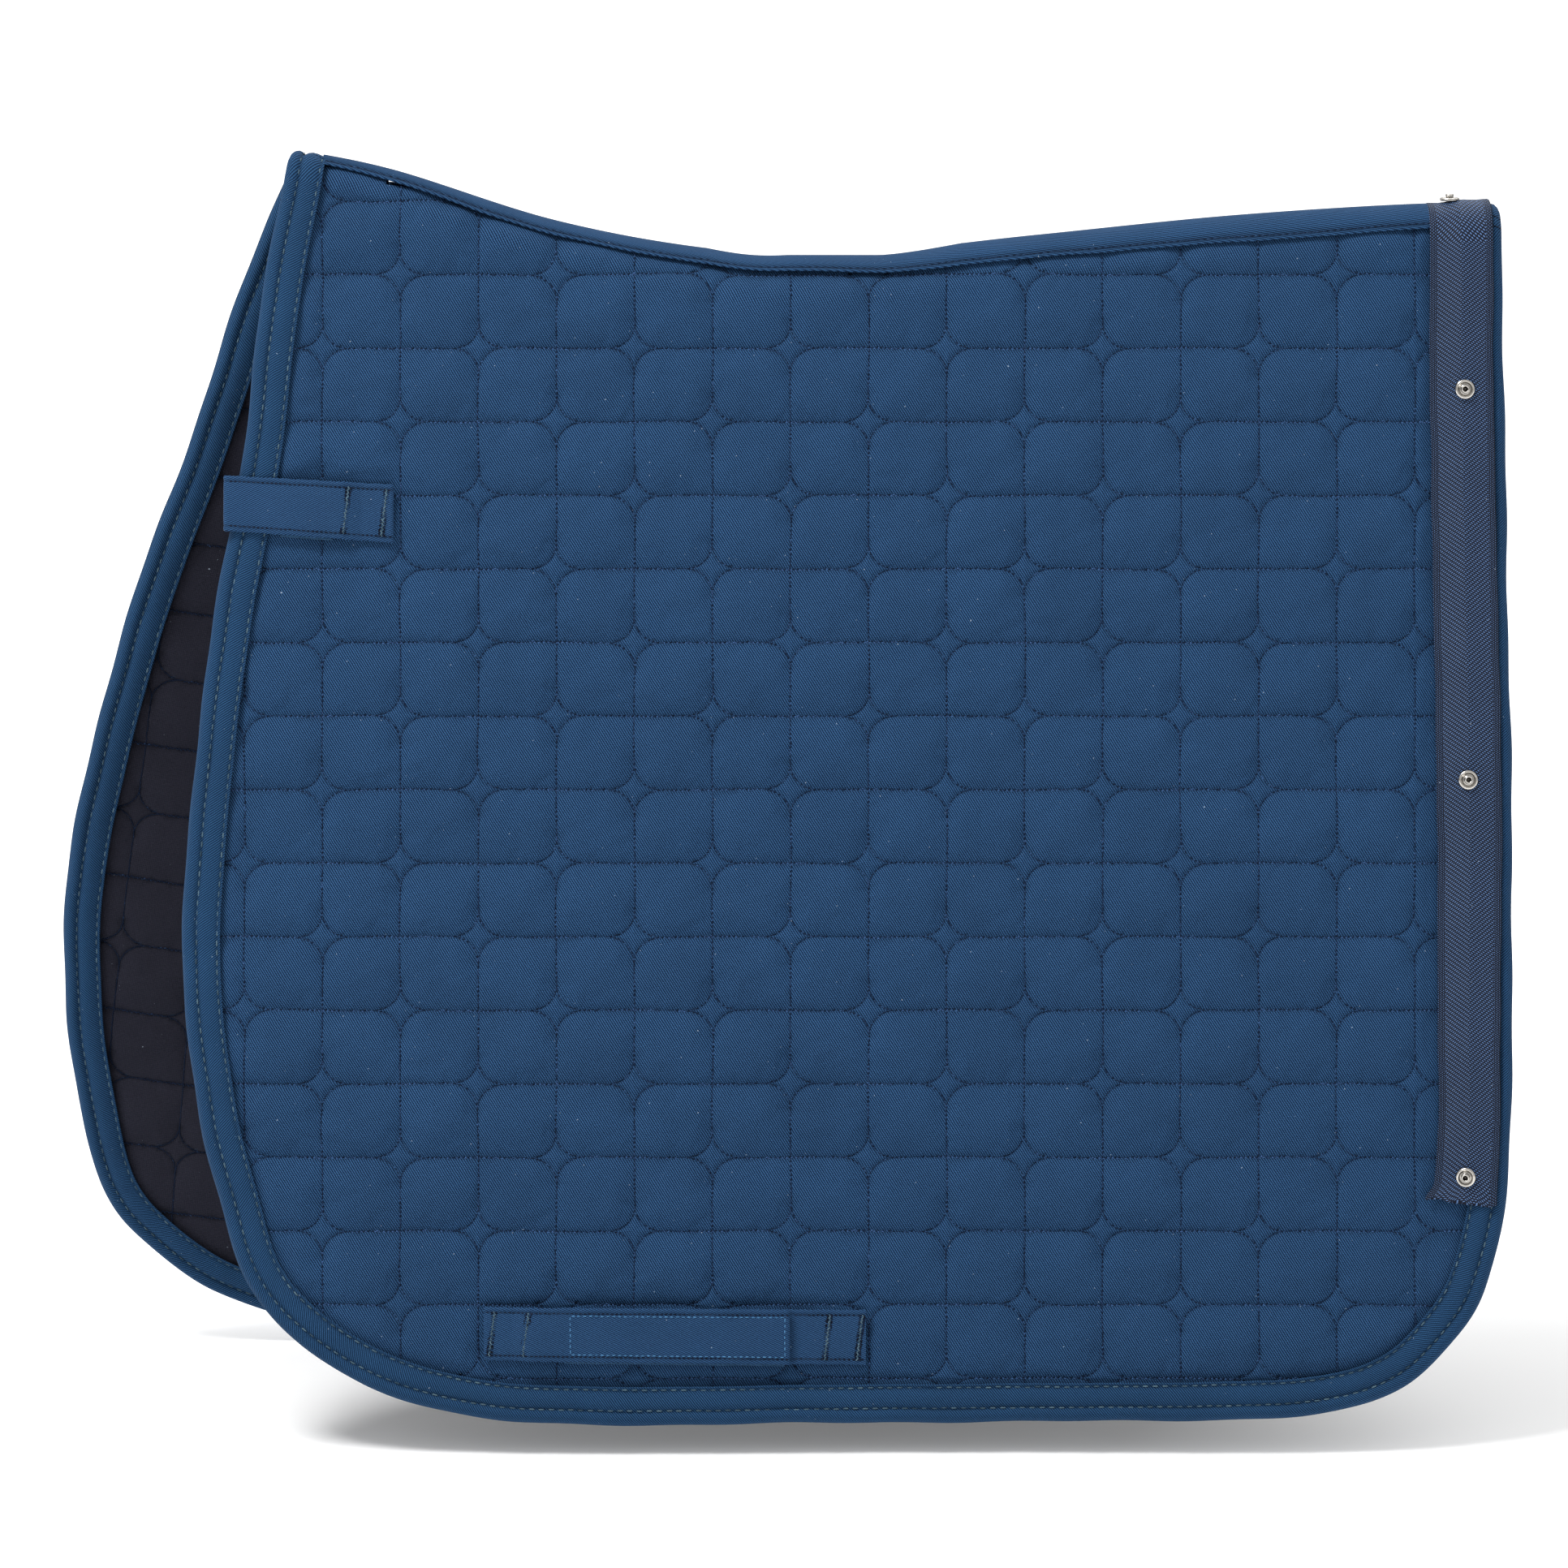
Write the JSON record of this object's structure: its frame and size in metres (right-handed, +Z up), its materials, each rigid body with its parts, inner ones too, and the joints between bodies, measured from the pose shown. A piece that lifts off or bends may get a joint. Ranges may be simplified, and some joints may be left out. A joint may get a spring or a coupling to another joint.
{
  "type": "saddle pad",
  "caption": "contoured quilted saddle pad folded over its spine, with two hinged flaps, corded binding, webbing trim with snap studs, and hook-and-loop girth and billet straps",
  "frame": {"origin": "level resting face under the spine's inner tape, at the spine's lowest point, midway between the flaps", "axes": "+X along the spine towards the tail, +Z up, left (near) flap on the -Y side"},
  "size_m": [0.696, 0.2219, 0.6021],
  "materials": {
    "quilted_twill": "deep blue cotton twill quilted in a diamond-dotted grid",
    "lining_cotton": "dark charcoal quilted cotton lining",
    "wadding": "white polyester wadding",
    "binding_twill": "deep blue bias-cut cotton twill, twin-needle stitched",
    "trim_webbing": "herringbone webbing, blue and near-black",
    "strap_twill": "deep blue twill tape, bar-tacked",
    "hook_and_loop": "dark hook-and-loop tape",
    "nickel": "polished nickel-plated brass"
  },
  "bodies": {
    "spine": {"spine_padding": "quilted_twill", "spine_band": "binding_twill", "spine_inner_tape": "lining_cotton", "front_binding_crossover": "binding_twill", "rear_binding_crossover": "binding_twill", "spine_webbing": "trim_webbing", "spine_snap_stud": "nickel", "spine_snap_cap": "nickel"},
    "left_flap": {"left_outer_cover": "quilted_twill", "left_batting": "wadding", "left_lining": "lining_cotton", "left_edge_binding": "binding_twill", "left_piping_cord": "wadding", "left_trim_webbing": "trim_webbing", "left_upper_snap_stud": "nickel", "left_middle_snap_stud": "nickel", "left_lower_snap_stud": "nickel", "left_upper_snap_cap": "nickel", "left_middle_snap_cap": "nickel", "left_lower_snap_cap": "nickel", "left_girth_strap_tab": "strap_twill", "left_girth_short_strap": "strap_twill", "left_girth_loop_patch": "hook_and_loop", "left_billet_strap_tab": "strap_twill", "left_billet_loop_patch": "hook_and_loop"},
    "left_girth_keeper": {"left_girth_long_strap": "strap_twill", "left_girth_hook_patch": "hook_and_loop"},
    "left_billet_keeper": {"left_billet_strap": "strap_twill", "left_billet_hook_patch": "hook_and_loop"},
    "right_flap": {"right_outer_cover": "quilted_twill", "right_batting": "wadding", "right_lining": "lining_cotton", "right_edge_binding": "binding_twill", "right_piping_cord": "wadding", "right_trim_webbing": "trim_webbing", "right_upper_snap_stud": "nickel", "right_middle_snap_stud": "nickel", "right_lower_snap_stud": "nickel", "right_upper_snap_cap": "nickel", "right_middle_snap_cap": "nickel", "right_lower_snap_cap": "nickel", "right_girth_strap_tab": "strap_twill", "right_girth_short_strap": "strap_twill", "right_girth_loop_patch": "hook_and_loop", "right_billet_strap_tab": "strap_twill", "right_billet_loop_patch": "hook_and_loop"},
    "right_girth_keeper": {"right_girth_long_strap": "strap_twill", "right_girth_hook_patch": "hook_and_loop"},
    "right_billet_keeper": {"right_billet_strap": "strap_twill", "right_billet_hook_patch": "hook_and_loop"}
  },
  "joints": [
    {"name": "left_flap_hinge", "type": "hinge", "parent": "spine", "child": "left_flap", "pos_m": [0, -0.0218, 0.01445], "axis": [-1, 0, 0], "range_deg": [-5, 80]},
    {"name": "left_girth_strap_hinge", "type": "hinge", "parent": "left_flap", "child": "left_girth_keeper", "pos_m": [-0.1417, -0.10721, -0.48443], "axis": [0, -0.165, -0.9863], "range_deg": [0, 165]},
    {"name": "left_billet_strap_hinge", "type": "hinge", "parent": "left_flap", "child": "left_billet_keeper", "pos_m": [-0.2314, -0.04268, -0.10427], "axis": [0, 0.165, 0.9863], "range_deg": [0, 150]},
    {"name": "right_flap_hinge", "type": "hinge", "parent": "spine", "child": "right_flap", "pos_m": [0, 0.0218, 0.01445], "axis": [1, 0, 0], "range_deg": [-5, 80]},
    {"name": "right_girth_strap_hinge", "type": "hinge", "parent": "right_flap", "child": "right_girth_keeper", "pos_m": [-0.22832, 0.1088, -0.49393], "axis": [0.1058, -0.1641, 0.9808], "range_deg": [0, 165]},
    {"name": "right_billet_strap_hinge", "type": "hinge", "parent": "right_flap", "child": "right_billet_keeper", "pos_m": [-0.26413, 0.04306, -0.10656], "axis": [-0.1937, 0.1619, -0.9676], "range_deg": [0, 150]}
  ]
}
